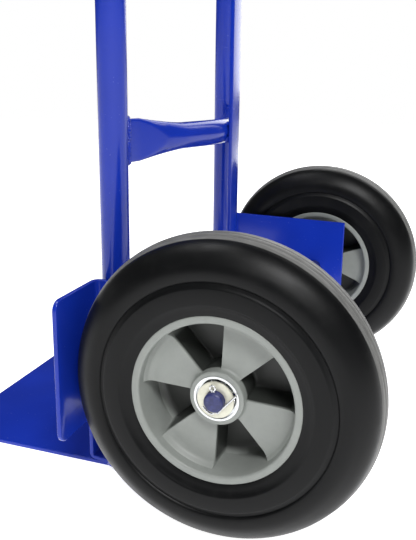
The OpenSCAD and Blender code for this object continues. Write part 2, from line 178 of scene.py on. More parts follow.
class Finish:
    """A procedural material while its nodes are being laid."""

    def __init__(self, name):
        self.material = bpy.data.materials.new(f"{name}_finish")
        self.material.use_nodes = True
        self.tree = self.material.node_tree
        self.tree.nodes.clear()
        self.place = self.node("ShaderNodeTexCoord", output="Object")

    def node(self, kind, settings=None, output=0, **values):
        """Adds a node: its settings first, then the values or links of its sockets."""
        node = self.tree.nodes.new(kind)
        for key, value in (settings or {}).items():
            if key == "stops":
                ramp = node.color_ramp
                while len(ramp.elements) < len(value):
                    ramp.elements.new(0.5)
                for element, (position, shade) in zip(ramp.elements, value):
                    element.position = position
                    element.color = (shade, shade, shade, 1)
            else:
                setattr(node, key, value)
        for key, value in values.items():
            key = int(key[1:]) if key[0] == "_" else key.replace("_", " ")
            if isinstance(value, Socket):
                self.tree.links.new(value.socket, node.inputs[key])
            else:
                node.inputs[key].default_value = value
        return Socket(self, node.outputs[output])

    def maths(self, operation, first, second=0.0):
        """One Math node; an operation on a single value leaves the second one out."""
        return self.node("ShaderNodeMath", {"operation": operation}, _0=first, _1=second)

    def noise(self, scale, detail=3.0, roughness=0.55, stretch=None):
        """Fractal noise, optionally finer or coarser along X, Y and Z."""
        place = self.place
        if stretch:
            place = self.node("ShaderNodeMapping", Vector=place, Scale=stretch)
        return self.node("ShaderNodeTexNoise", output="Fac",
                         Vector=place, Scale=scale, Detail=detail, Roughness=roughness)

    def ramp(self, value, *stops):
        """A grey ramp through stops of (value, brightness)."""
        return self.node("ShaderNodeValToRGB", {"stops": stops}, Fac=value)

    def mix(self, mask, first, second):
        """A colour between first, where mask is 0, and second, where it is 1."""
        return self.node("ShaderNodeMix", {"data_type": "RGBA"}, output=2, _0=mask,
                         _6=first if isinstance(first, Socket) else (*first, 1),
                         _7=second if isinstance(second, Socket) else (*second, 1))

    def bump(self, height, strength, distance, under=None):
        """Relief from a height, laid over the relief under it."""
        values = {"Height": height, "Strength": strength, "Distance": distance}
        if under:
            values["Normal"] = under
        return self.node("ShaderNodeBump", **values)

    def from_wheel(self):
        """Distances from the nearer wheel's middle plane and from the axle's centre line."""
        centre = wheel_centre("left")
        x, y, z = (
            self.node("ShaderNodeSeparateXYZ", output=k, Vector=self.place) for k in range(3))
        along = self.maths("ABSOLUTE", self.maths("ABSOLUTE", x) - centre.x)
        y, z = y - centre.y, z - centre.z
        return along, self.maths("SQRT", y * y + z * z)

    def done(self, **values):
        """Joins the surface to the output and returns the material."""
        surface = self.node("ShaderNodeBsdfPrincipled", **values)
        end = self.tree.nodes.new("ShaderNodeOutputMaterial")
        self.tree.links.new(surface.socket, end.inputs["Surface"])
        return self.material


def shaded(colour, factor):
    """The colour made darker or lighter by a factor."""
    return tuple(min(1.0, channel * factor) for channel in colour)


def blue_paint():
    """Glossy powder coat: orange peel, slight colour drift, handling scuffs and dust specks."""
    f = Finish("blue_paint")
    base = tuple(bpy.context.scene.hand_truck_frame.paint_colour)
    drift = f.ramp(f.noise(9, 2), (0.3, 0.0), (0.7, 1.0))
    colour = f.mix(drift, shaded(base, 0.88), shaded(base, 1.12))
    specks = f.ramp(f.noise(420, 2, 0.4), (0.735, 0.0), (0.77, 1.0))
    colour = f.mix(specks * 0.12, colour, (0.30, 0.36, 0.62))
    scuffs = f.ramp(f.noise(60, 5, 0.7, (1.0, 0.18, 1.0)), (0.62, 0.0), (0.75, 1.0))
    colour = f.mix(scuffs * 0.08, colour, (0.10, 0.14, 0.50))
    peel = f.noise(330, 2, 0.5)
    fine = f.noise(1500, 2, 0.6)
    relief = f.bump(fine, 0.10, 0.0002, f.bump(peel, 0.22, 0.0004))
    return f.done(Base_Color=colour, Roughness=0.15 + drift * 0.06 + scuffs * 0.2,
                  Specular_IOR_Level=0.26, Coat_Weight=0.12, Coat_Roughness=0.08, Normal=relief)


def axle_paint():
    """Dark blue paint brushed over the turned axle, thin on its edges."""
    f = Finish("axle_paint")
    patches = f.ramp(f.noise(260, 4, 0.65), (0.4, 0.0), (0.62, 1.0))
    colour = f.mix(patches, (0.012, 0.016, 0.085), (0.030, 0.036, 0.15))
    chips = f.ramp(f.noise(900, 3, 0.6), (0.70, 0.0), (0.74, 1.0))
    colour = f.mix(chips * 0.7, colour, (0.35, 0.35, 0.36))
    relief = f.bump(f.noise(380, 3), 0.35, 0.0006)
    return f.done(Base_Color=colour, Roughness=0.34 + patches * 0.16, Normal=relief)


def tyre_rubber():
    """Moulded black rubber: satin, with faint flow marks, fine grain and a trace of dust; the
    tread is lightened to grey in streaks, partly painted sheen and partly scuffing.
    """
    f = Finish("tyre_rubber")
    base = tuple(bpy.context.scene.hand_truck_wheels.rubber_colour)
    flow = f.noise(26, 4, 0.6)
    dust = f.ramp(f.noise(70, 6, 0.7), (0.52, 0.0), (0.8, 1.0))
    colour = f.mix(flow, shaded(base, 0.8), shaded(base, 1.3))
    colour = f.mix(dust * 0.04, colour, (0.06, 0.06, 0.055))
    # Painted sheen on the tread: streaks of light grey stand in for the light the tread reflects,
    # and partly for scuffed wear.
    along, _ = f.from_wheel()
    tread = f.ramp(along * 20, (0.235, 1.0), (0.255, 0.0))
    sheen_and_scuff_streaks = f.ramp(f.noise(900, 3, 0.6, (1.0, 0.08, 0.08)), (0.35, 0.7), (0.65, 1.0))
    colour = f.mix(tread * sheen_and_scuff_streaks, colour, (0.17, 0.17, 0.165))
    grain = f.noise(2200, 3, 0.6)
    relief = f.bump(grain, 0.18, 0.00025, f.bump(f.noise(140, 3), 0.10, 0.0006))
    return f.done(Base_Color=colour, Roughness=0.33 + flow * 0.12 + dust * 0.15,
                  Specular_IOR_Level=0.16, Normal=relief)


def hub_plastic():
    """Injection-moulded grey plastic with a fine spark texture and slight mottling, and painted
    shade that darkens the deep pockets of its web.
    """
    f = Finish("hub_plastic")
    base = tuple(bpy.context.scene.hand_truck_wheels.plastic_colour)
    mottle = f.noise(75, 5, 0.65)
    colour = f.mix(mottle, shaded(base, 0.86), shaded(base, 1.14))
    stains = f.ramp(f.noise(150, 5, 0.7), (0.63, 0.0), (0.78, 1.0))
    colour = f.mix(stains * 0.16, colour, (0.10, 0.11, 0.10))
    # Painted shade: the pocket floors and their walls inside the barrel are darkened almost to
    # black, as if shade fell there.
    depth, reach = f.from_wheel()
    deep = f.ramp(depth * 50, (0.55, 1.0), (0.65, 0.0))
    pocket_shade = deep * f.ramp(reach * 10, (0.56, 1.0), (0.605, 0.0))
    colour = f.mix(pocket_shade * 0.94, colour, (0.016, 0.018, 0.016))
    relief = f.bump(f.noise(1900, 3, 0.6), 0.16, 0.00025)
    return f.done(Base_Color=colour, Roughness=0.38 + mottle * 0.14, Normal=relief)


def grip_vinyl():
    """Soft black vinyl with a pebbled grain."""
    f = Finish("grip_vinyl")
    pebbles = f.node("ShaderNodeTexVoronoi", output="Distance", Vector=f.place, Scale=700.0)
    wear = f.ramp(f.noise(45, 4, 0.6), (0.4, 0.0), (0.75, 1.0))
    colour = f.mix(wear, (0.012, 0.012, 0.013), (0.030, 0.030, 0.031))
    return f.done(Base_Color=colour, Roughness=0.52 + wear * 0.16,
                  Normal=f.bump(pebbles, 0.35, 0.0005))


def plated(name, dark, light, rough, streak, metal=0.85):
    """Plated steel: fine scratches along streak, clouded plating and small dull spots."""
    f = Finish(name)
    cloud = f.noise(190, 5, 0.65)
    scratch = f.noise(800, 4, 0.7, streak)
    colour = f.mix(cloud, dark, light)
    spots = f.ramp(f.noise(520, 3, 0.5), (0.66, 0.0), (0.74, 1.0))
    colour = f.mix(spots * 0.3, colour, shaded(dark, 0.55))
    return f.done(Base_Color=colour, Metallic=metal - spots * 0.25,
                  Roughness=rough + scratch * 0.16 + spots * 0.12,
                  Normal=f.bump(scratch, 0.14, 0.0002))


FINISHES = {
    "blue_paint": blue_paint,
    "axle_paint": axle_paint,
    "tyre_rubber": tyre_rubber,
    "hub_plastic": hub_plastic,
    "grip_vinyl": grip_vinyl,
    "zinc_washer": lambda: plated(
        "zinc_washer", (0.52, 0.51, 0.42), (0.72, 0.71, 0.60), 0.34, (0.2, 1.0, 1.0), 0.4),
    "zinc_steel": lambda: plated(
        "zinc_steel", (0.52, 0.53, 0.54), (0.82, 0.83, 0.84), 0.20, (0.3, 1.0, 1.0)),
    "bearing_steel": lambda: plated(
        "bearing_steel", (0.50, 0.52, 0.53), (0.80, 0.82, 0.83), 0.16, (0.2, 1.0, 1.0)),
}


def finish_piece(obj, slot):
    """Gives an object the finish of one slot, which is made the first time it is needed."""
    finish = bpy.data.materials.get(f"{slot}_finish") or FINISHES[slot]()
    obj.data.materials.clear()
    obj.data.materials.append(finish)


# ---------------------------------------------------------------- modelling helpers


def choose(*objects):
    """Object mode, with only these objects selected and the first one active."""
    if bpy.context.mode != "OBJECT":
        bpy.ops.object.mode_set(mode="OBJECT")
    bpy.ops.object.select_all(action="DESELECT")
    for obj in objects:
        obj.select_set(True)
    if objects:
        bpy.context.view_layer.objects.active = objects[0]


@contextmanager
def editing(obj):
    """Edit mode on one object, with all of it selected; its place is in its mesh."""
    choose(obj)
    bpy.ops.object.transform_apply(location=True, rotation=True, scale=True)
    bpy.ops.object.mode_set(mode="EDIT")
    bpy.ops.mesh.select_mode(type="VERT")
    bpy.ops.mesh.select_all(action="SELECT")
    yield obj
    bpy.ops.object.mode_set(mode="OBJECT")


def pick(obj, kind, test):
    """In edit mode, selects the vertices, edges or faces whose middle passes the test."""
    bpy.ops.mesh.select_mode(type=kind)
    bpy.ops.mesh.select_all(action="DESELECT")
    shape = bmesh.from_edit_mesh(obj.data)
    items = {"VERT": shape.verts, "EDGE": shape.edges, "FACE": shape.faces}[kind]
    for item in items:
        points = [item.co] if kind == "VERT" else [v.co for v in item.verts]
        if test(sum(points, Vector()) / len(points)):
            item.select_set(True)
    shape.select_flush_mode()
    bmesh.update_edit_mesh(obj.data)


def chosen_points(obj):
    """The selected vertices of the object in edit mode."""
    return [v for v in bmesh.from_edit_mesh(obj.data).verts if v.select]


def extrude(offset):
    bpy.ops.mesh.extrude_region_move(TRANSFORM_OT_translate={"value": tuple(offset)})


def tidy_normals():
    """In edit mode, merges doubles and turns every face outwards."""
    bpy.ops.mesh.select_all(action="SELECT")
    bpy.ops.mesh.remove_doubles(threshold=1e-6)
    bpy.ops.mesh.normals_make_consistent(inside=False)


def modify(obj, kind, **settings):
    """Adds a modifier and applies it."""
    choose(obj)
    modifier = obj.modifiers.new(kind.title(), kind)
    for key, value in settings.items():
        setattr(modifier, key, value)
    bpy.ops.object.modifier_apply(modifier=modifier.name)


def thicken(obj, thickness, offset=-1.0):
    modify(obj, "SOLIDIFY", thickness=thickness, offset=offset, use_even_offset=True)


def soften(obj, width, segments=3, angle=40):
    """Rounds every edge sharper than angle."""
    modify(obj, "BEVEL", width=width, segments=segments, limit_method="ANGLE",
           angle_limit=math.radians(angle), harden_normals=False)


def joined(*objects):
    choose(*objects)
    bpy.ops.object.join()
    return objects[0]


def mirrored(obj):
    """A copy of obj with its own mesh, on the other side of the middle plane."""
    choose(obj)
    bpy.ops.object.duplicate()
    copy = bpy.context.active_object
    with editing(copy):
        bpy.ops.transform.resize(value=(-1, 1, 1), center_override=(0, 0, 0))
        bpy.ops.mesh.flip_normals()
    return copy


def hand_over(obj, name, body, slot, *nodes, smooth=40):
    """Names, smooths, paints and places a finished piece, and hides the nodes it stands for."""
    choose(obj)
    bpy.ops.object.transform_apply(location=True, rotation=True, scale=True)
    bpy.ops.object.shade_smooth_by_angle(angle=math.radians(smooth))
    obj.name = obj.data.name = name
    finish_piece(obj, slot)
    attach(obj, body)
    if nodes:
        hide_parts(*nodes)
    return obj


def circle(radius, centre, points=48, turn=(0, 0, 0)):
    """An open ring of edges."""
    choose()
    bpy.ops.mesh.primitive_circle_add(
        vertices=points, radius=radius, fill_type="NOTHING", location=centre, rotation=turn)
    return bpy.context.active_object


def lathe(profile, centre, axis, steps=96, closed=True):
    """Draws a profile of (radius, distance along the axis) points and spins it round."""
    axis = Vector(axis).normalized()
    out = axis.orthogonal().normalized()
    route = [Vector(centre) + axis * along + out * radius for radius, along in profile]
    choose()
    bpy.ops.mesh.primitive_plane_add(size=0.001, location=route[0])
    obj = bpy.context.active_object
    with editing(obj):
        pick(obj, "VERT", lambda place: True)
        bpy.ops.mesh.merge(type="CENTER")
        for start, end in zip(route, route[1:]):
            bpy.ops.mesh.extrude_vertices_move(TRANSFORM_OT_translate={"value": end - start})
        if closed:
            bpy.ops.mesh.extrude_vertices_move(
                TRANSFORM_OT_translate={"value": route[0] - route[-1]})
        bpy.ops.mesh.select_all(action="SELECT")
        bpy.ops.mesh.spin(steps=steps, angle=math.tau, center=centre, axis=axis)
        tidy_normals()
    return obj


def arc_point(start, corner, end, t):
    """A point on the curve that leaves start and reaches end, pulled towards a corner."""
    return tuple(start * (1 - t) ** 2 + corner * 2 * t * (1 - t) + end * t * t)


def rounded(corners, radius, steps=4):
    """A closed profile whose corners are rounded; a corner may give its own radius."""
    result = []
    count = len(corners)
    for i, corner in enumerate(corners):
        here = Vector(corner[:2])
        r = corner[2] if len(corner) > 2 else radius
        back = Vector(corners[i - 1][:2]) - here
        ahead = Vector(corners[(i + 1) % count][:2]) - here
        reach = min(r, back.length * 0.45, ahead.length * 0.45)
        if reach <= 0:
            result.append(tuple(here))
            continue
        start, end = here + back.normalized() * reach, here + ahead.normalized() * reach
        result += [arc_point(start, here, end, k / steps) for k in range(steps + 1)]
    return result


def swept(points, radius, sides=2, ripple=0.0, pitch=0.003, seed=0.0):
    """A rod along a route of points, made from a curve. A ripple makes it a weld bead."""
    step = pitch / 4 if ripple else 1.0
    route = [Vector(points[0])]
    for start, end in zip(points, points[1:]):
        start, end = Vector(start), Vector(end)
        count = max(1, round((end - start).length / step))
        route += [start.lerp(end, k / count) for k in range(1, count + 1)]
    curve = bpy.data.curves.new("rod", "CURVE")
    curve.dimensions = "3D"
    curve.bevel_depth = radius
    curve.bevel_resolution = sides
    curve.use_fill_caps = True
    line = curve.splines.new("POLY")
    line.points.add(len(route) - 1)
    for i, (point, place) in enumerate(zip(line.points, route)):
        point.co = (*place, 1)
        if ripple:
            wave = abs(math.cos(math.pi * i / 4 + seed))
            lump = noise.noise(place * 140 + Vector((seed, 0, 0)))
            end = min(1.0, 0.55 + 0.15 * min(i, len(route) - 1 - i))
            point.radius = (1 - ripple + ripple * wave + 0.25 * lump) * end
    obj = bpy.data.objects.new("rod", curve)
    bpy.context.collection.objects.link(obj)
    choose(obj)
    bpy.ops.object.convert(target="MESH")
    return bpy.context.active_object


# ---------------------------------------------------------------- pieces


class HANDTRUCK_OT_side_tubes(bpy.types.Operator):
    """Model both side tubes: an upright, a bend and a handle, as one open-ended tube"""

    bl_idname = "handtruck.side_tubes"
    bl_label = "Side Tubes"

    def execute(self, context):
        s = context.scene.hand_truck_frame
        low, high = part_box("left_side_tube")
        r, lean = s.tube_radius, s.handle_angle
        x, y = (low.x + high.x) / 2, low.y + r
        along = Vector((0, math.sin(lean), math.cos(lean)))
        bend_z = high.z - r * along.y - s.handle_length * along.z - s.handle_bend * along.y
        tube = circle(r, (x, y, low.z), 64)
        with editing(tube):
            extrude((0, 0, bend_z - low.z))
            bpy.ops.mesh.spin(steps=22, angle=lean, center=(x, y + s.handle_bend, bend_z),
                              axis=(1, 0, 0))
            extrude(along * s.handle_length)
            tidy_normals()
        thicken(tube, s.tube_wall)
        soften(tube, 0.0004, 2)
        other = mirrored(tube)
        hand_over(tube, "left_tube", "frame", "blue_paint", "left_side_tube")
        hand_over(other, "right_tube", "frame", "blue_paint", "right_side_tube")
        return {"FINISHED"}


class HANDTRUCK_OT_crossbars(bpy.types.Operator):
    """Model one bowed crossbar with pressed ends and copy it to each height"""

    bl_idname = "handtruck.crossbars"
    bl_label = "Crossbars"

    def execute(self, context):
        s = context.scene.hand_truck_frame
        low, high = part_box("lower_crossbar")
        z = (low.z + high.z) / 2
        r = s.tube_radius
        touch = math.radians(50)
        end_x = middle("left_side_tube").x - r * math.sin(touch)
        end_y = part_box("left_side_tube")[0].y + r + r * math.cos(touch)
        apex = high.y - r
        rise = s.crossbar_bend - (apex - end_y)
        front = s.crossbar_bend - s.blade_thickness / 2
        span = math.hypot(end_x, rise)
        arc = s.crossbar_bend * (math.atan2(end_x, rise) - math.acos(front / span))
        half = arc + math.sqrt(span ** 2 - front ** 2)
        start = half - s.blade_length - s.flare_length
        marks = [arc * k / 6 for k in range(7)]
        marks += [arc + (start - arc) * k / 4 for k in range(1, 5)]
        marks += [start + s.flare_length * k / 24 for k in range(1, 25)]
        marks += [half - s.blade_length / 2, half]
        marks = [-mark for mark in reversed(marks[1:])] + marks
        around, along = 64, len(marks) - 1
        easing, ridge = 1.35, 0.0033
        choose()
        bpy.ops.mesh.primitive_grid_add(x_subdivisions=around, y_subdivisions=along, size=2)
        bar = bpy.context.active_object
        with editing(bar):
            for point in bmesh.from_edit_mesh(bar.data).verts:
                angle = (round((point.co.x + 1) / 2 * around) % around + 0.5) * math.tau / around
                mark = marks[round((point.co.y + 1) / 2 * along)]
                flat = clamp((abs(mark) - start) / s.flare_length) ** easing
                deep = r + (s.blade_thickness / 2 - r) * flat
                oval = deep + ridge * clamp((flat - 0.35) / 0.4)
                tall = r + (s.blade_height / 2 - r) * flat
                out = min(deep, max(-deep, oval * math.cos(angle)))
                bend = math.copysign(min(abs(mark), arc) / s.crossbar_bend, mark)
                arm = math.copysign(max(0.0, abs(mark) - arc), mark)
                reach = s.crossbar_bend + out
                point.co = Vector((
                    reach * math.sin(bend) + arm * math.cos(bend),
                    apex - s.crossbar_bend + reach * math.cos(bend) - arm * math.sin(bend),
                    z + tall * math.sin(angle)))
            tidy_normals()
        thicken(bar, s.tube_wall * 0.8)
        copies = []
        for name in CROSSBARS:
            choose(bar)
            bpy.ops.object.duplicate()
            copy = bpy.context.active_object
            bpy.ops.transform.translate(value=(0, 0, middle(f"{name}_crossbar").z - z))
            copies.append((name, copy))
        bpy.data.objects.remove(bar)
        for name, copy in copies:
            hand_over(copy, f"{name}_bar", "frame", "blue_paint", f"{name}_crossbar", smooth=55)
        return {"FINISHED"}


class HANDTRUCK_OT_centre_strap(bpy.types.Operator):
    """Model the flat strap down the middle, with rolled edges"""

    bl_idname = "handtruck.centre_strap"
    bl_label = "Centre Strap"

    def execute(self, context):
        low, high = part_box("centre_strap")
        choose()
        bpy.ops.mesh.primitive_cube_add(size=1, location=(low + high) / 2)
        strap = bpy.context.active_object
        strap.scale = high - low
        with editing(strap):
            pick(strap, "EDGE", lambda p: min(p.z - low.z, high.z - p.z) > 0.01)
            bpy.ops.mesh.bevel(offset=0.0011, segments=4, profile=0.5)
            pick(strap, "EDGE", lambda p: min(p.z - low.z, high.z - p.z) < 1e-5)
            bpy.ops.mesh.bevel(offset=0.0005, segments=2)
            for k in range(1, 12):
                bpy.ops.mesh.select_all(action="SELECT")
                bpy.ops.mesh.bisect(plane_co=(0, 0, low.z + (high.z - low.z) * k / 12),
                                    plane_no=(0, 0, 1))
        hand_over(strap, "centre_strap_bar", "frame", "blue_paint", "centre_strap")
        return {"FINISHED"}


class HANDTRUCK_OT_toe_plate(bpy.types.Operator):
    """Model the toe plate: a sheet bent up at its back, with rounded front corners"""

    bl_idname = "handtruck.toe_plate"
    bl_label = "Toe Plate"

    def execute(self, context):
        s = context.scene.hand_truck_frame
        low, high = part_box("toe_plate")
        bend = 0.006
        start = high.y - s.sheet - bend
        choose()
        bpy.ops.mesh.primitive_plane_add(
            size=1, location=(0, (low.y + start) / 2, low.z + s.sheet))
        plate = bpy.context.active_object
        plate.scale = (high.x - low.x, start - low.y, 1)
        with editing(plate):
            pick(plate, "VERT", lambda p: p.y < low.y + 0.001)
            bpy.ops.mesh.bevel(offset=0.014, segments=8, affect="VERTICES")
            pick(plate, "EDGE", lambda p: p.y > start - 1e-5)
            bpy.ops.mesh.spin(steps=8, angle=math.pi / 2, axis=(1, 0, 0),
                              center=(0, start, low.z + s.sheet + bend))
            if max(point.co.z for point in chosen_points(plate)) < low.z + s.sheet + 0.001:
                raise RuntimeError("the toe plate's flange bends the wrong way")
            extrude((0, 0, high.z - low.z - s.sheet - bend))
            bpy.ops.mesh.select_all(action="SELECT")
            bpy.ops.mesh.normals_make_consistent(inside=False)
        upward = sum((face.normal.z * face.area for face in plate.data.polygons))
        thicken(plate, s.sheet, -1.0 if upward > 0 else 1.0)
        soften(plate, 0.0009, 3)
        hand_over(plate, "toe_plate_sheet", "frame", "blue_paint", "toe_plate")
        return {"FINISHED"}


class HANDTRUCK_OT_brackets(bpy.types.Operator):
    """Model the axle brackets: a plate on the tube that bends out into a wheel guard"""

    bl_idname = "handtruck.brackets"
    bl_label = "Axle Brackets"

    def execute(self, context):
        s = context.scene.hand_truck_frame
        low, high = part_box("left_axle_bracket")
        hub = wheel_centre("left")
        bend, x = 0.004, low.x
        front = low.y + s.sheet + bend
        half = (high.z - low.z) / 2
        tail = high.y
        choose()
        bpy.ops.mesh.primitive_plane_add(size=1, location=(x, (front + tail) / 2, hub.z),
                                         rotation=(0, math.pi / 2, 0))
        panel = bpy.context.active_object
        panel.scale = (high.z - low.z, tail - front, 1)
        corner, tail_corner = 0.009, 0.0015
        knee = Vector((x, hub.y - half, low.z))
        heel = Vector((x, tail - tail_corner, low.z + 0.036))
        cuts = (
            (knee, (heel - knee).cross(Vector((1, 0, 0)))),
            (Vector((x, front, high.z)),
             (Vector((x, tail - tail_corner, high.z - 0.002)) - Vector((x, front, high.z))).cross(
                 Vector((-1, 0, 0)))),
        )
        with editing(panel):
            for place, normal in cuts:
                if normal.dot(Vector((x, hub.y, hub.z)) - place) > 0:
                    normal.negate()
                bpy.ops.mesh.select_all(action="SELECT")
                bpy.ops.mesh.bisect(plane_co=place, plane_no=normal, clear_outer=True)
            pick(panel, "VERT", lambda p: p.y > tail - 0.001)
            bpy.ops.mesh.bevel(offset=tail_corner, segments=3, affect="VERTICES")
            pick(panel, "EDGE", lambda p: p.y < front + 1e-5)
            bpy.ops.mesh.spin(steps=6, angle=-math.pi / 2, axis=(0, 0, 1),
                              center=(x + s.sheet + bend, front, hub.z))
            if max(point.co.x for point in chosen_points(panel)) < x + 0.002:
                raise RuntimeError("the wheel guard bends the wrong way")
            extrude((high.x - x - s.sheet - bend, 0, 0))
            pick(panel, "VERT", lambda p: p.x > high.x - 1e-4)
            bpy.ops.mesh.bevel(offset=corner, segments=6, affect="VERTICES")
            bpy.ops.mesh.select_all(action="SELECT")
            bpy.ops.mesh.normals_make_consistent(inside=False)
        facing = sum(face.normal.x * face.area for face in panel.data.polygons)
        thicken(panel, s.sheet, 1.0 if facing > 0 else -1.0)
        soften(panel, 0.0009, 3)
        choose()
        bpy.ops.mesh.primitive_cylinder_add(
            vertices=48, radius=0.0081, depth=0.03, location=(x, hub.y, hub.z),
            rotation=(0, math.pi / 2, 0))
        drill = bpy.context.active_object
        modify(panel, "BOOLEAN", operation="DIFFERENCE", object=drill, solver="EXACT")
        bpy.data.objects.remove(drill)
        other = mirrored(panel)
        hand_over(panel, "left_bracket", "frame", "blue_paint", "left_axle_bracket")
        hand_over(other, "right_bracket", "frame", "blue_paint", "right_axle_bracket")
        return {"FINISHED"}


class HANDTRUCK_OT_welds(bpy.types.Operator):
    """Model the weld beads between tubes, crossbars, strap, toe plate and brackets"""

    bl_idname = "handtruck.welds"
    bl_label = "Welds"

    def execute(self, context):
        s = context.scene.hand_truck_frame
        r = s.weld_radius
        tube_low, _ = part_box("left_side_tube")
        tube = Vector((middle("left_side_tube").x, tube_low.y + s.tube_radius, 0))
        strap_low, strap_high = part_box("centre_strap")
        beads = []

        def bead(points, radius, seed):
            beads.append(swept(points, radius, 3, ripple=0.34, seed=seed))

        for index, name in enumerate(CROSSBARS):
            z = middle(f"{name}_crossbar").z
            for side in (1, -1):
                seed = index * 2.7 + side
                turn = math.radians(47)
                wrap = []
                for k in range(25):
                    a = math.tau * k / 24
                    out = (s.blade_thickness / 2 + r * 0.35) * math.cos(a)
                    up = (s.blade_height / 2 + r * 0.2) * math.sin(a)
                    place = tube + Vector((
                        -(s.tube_radius + r * 0.1) * math.cos(turn + out / s.tube_radius),
                        (s.tube_radius + r * 0.1) * math.sin(turn + out / s.tube_radius), z + up))
                    wrap.append((place.x * side, place.y, place.z))
                bead(wrap, r, seed)
            for level in (1, -1):
                half = (strap_high.x - strap_low.x) / 2 - 0.001
                place = (strap_low.y - r * 0.9, z + level * s.tube_radius * 0.62)
                bead([(-half, *place), (half, *place)], r * 1.15, index + level)
        toe_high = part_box("toe_plate")[1]
        guard_low, guard_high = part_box("left_axle_bracket")
        for side in (1, -1):
            for edge in (1, -1):
                x = side * (tube.x + edge * s.tube_radius * 0.62)
                y = toe_high.y + r * 0.8
                bead([(x, y, 0.012), (x, y, toe_high.z - 0.004)], r * 1.1, side + edge * 3)
                y = tube.y + edge * s.tube_radius * 0.55
                x = side * (guard_low.x - r * 0.75)
                bead([(x, y, guard_low.z + 0.006), (x, y, guard_high.z - 0.004)], r * 1.1,
                     side * 2 + edge)
        welds = joined(*beads)
        hand_over(welds, "weld_beads", "frame", "blue_paint", smooth=60)
        return {"FINISHED"}


class HANDTRUCK_OT_grips(bpy.types.Operator):
    """Model the ribbed handle grips"""

    bl_idname = "handtruck.grips"
    bl_label = "Grips"

    def execute(self, context):
        s = context.scene.hand_truck_frame
        low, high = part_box("left_side_tube")
        along = Vector((0, math.sin(s.handle_angle), math.cos(s.handle_angle)))
        tip = Vector(((low.x + high.x) / 2, 0, high.z - s.tube_radius * along.y))
        tip.y = high.y - s.tube_radius * along.z
        covered, cap, outer = 0.120, 0.005, 0.0165
        bore = s.tube_radius - 0.0001
        profile = [(bore, -covered), (outer - 0.0015, -covered),
                   (outer - 0.0004, -covered + 0.0008), (outer, -covered + 0.0025)]
        for k in range(9):
            at = -covered + 0.012 + k * 0.012
            for step in range(7):
                a = math.pi * step / 6
                profile.append((outer - 0.0007 * math.sin(a), at - 0.0012 * math.cos(a)))
        profile += [(outer, cap - 0.0035), (outer - 0.0006, cap - 0.0012),
                    (outer - 0.0022, cap - 0.0003), (outer - 0.005, cap), (0, cap),
                    (0, 0.0002), (bore, 0.0002)]
        grip = lathe(profile, tip, along, 96)
        other = mirrored(grip)
        hand_over(grip, "left_handle_grip", "frame", "grip_vinyl", "left_grip")
        hand_over(other, "right_handle_grip", "frame", "grip_vinyl", "right_grip")
        return {"FINISHED"}


class HANDTRUCK_OT_tyres(bpy.types.Operator):
    """Model the solid tyres: beads, a raised band, a crease, bulging walls and a ribbed tread"""

    bl_idname = "handtruck.tyres"
    bl_label = "Tyres"

    def execute(self, context):
        s = context.scene.hand_truck_wheels
        low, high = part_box("left_tyre")
        centre = wheel_centre("left")
        wide = (high.x - low.x) / 2
        crown = (high.z - low.z) / 2
        lip, rim = 0.027, s.rim_radius
        half = [(rim - 0.0001, lip - 0.0006), (rim + 0.0012, lip + 0.0002),
                (rim + 0.0040, lip + 0.0009), (rim + 0.0066, lip + 0.0020),
                (rim + 0.0084, wide - 0.0009), (rim + 0.0092, wide - 0.0002),
                (rim + 0.0102, wide), (rim + 0.0214, wide - 0.0001),
                (rim + 0.0224, wide - 0.0003), (rim + 0.0232, wide - 0.0010),
                (rim + 0.0246, wide - 0.0017), (rim + 0.0258, wide - 0.0021),
                (rim + 0.0264, wide - 0.0024), (rim + 0.0270, wide - 0.0016),
                (rim + 0.0282, wide - 0.0009), (rim + 0.0310, wide - 0.0005),
                (rim + 0.0350, wide - 0.0005)]
        shoulder = (Vector((rim + 0.0365, wide - 0.0006)), Vector((crown - 0.0055, wide * 0.73)),
                    Vector((crown - 0.0033, wide * 0.405)))
        half += [arc_point(*shoulder, k / 12) for k in range(1, 13)]
        edge = wide * 0.39
        pitch = 2 * edge / s.tread_ribs
        crowning, groove = 20, 0.0018
        tread = []
        for k in range(s.tread_ribs):
            start = edge - k * pitch
            stop = start - pitch
            for along, drop in ((start - 0.0004, 0.0003), (start - 0.0009, 0),
                                (stop + 0.0009, 0), (stop + 0.0004, 0.0003)):
                tread.append((crown - crowning * along ** 2 - drop, along))
            if k < s.tread_ribs - 1:
                tread.append((crown - crowning * stop ** 2 - groove, stop))
        inner = lip - 0.0036
        seat = rim - 0.004
        bead = [(rim - 0.0001, -inner), (seat, -inner), (seat, inner), (rim - 0.0001, inner)]
        mirror = [(radius, -along) for radius, along in reversed(half)]
        tyre = lathe(half + tread + mirror + bead, centre, (1, 0, 0), 180)
        other = mirrored(tyre)
        hand_over(tyre, "left_rubber", "left_wheel", "tyre_rubber", "left_tyre", smooth=38)
        hand_over(other, "right_rubber", "right_wheel", "tyre_rubber", "right_tyre", smooth=38)
        return {"FINISHED"}


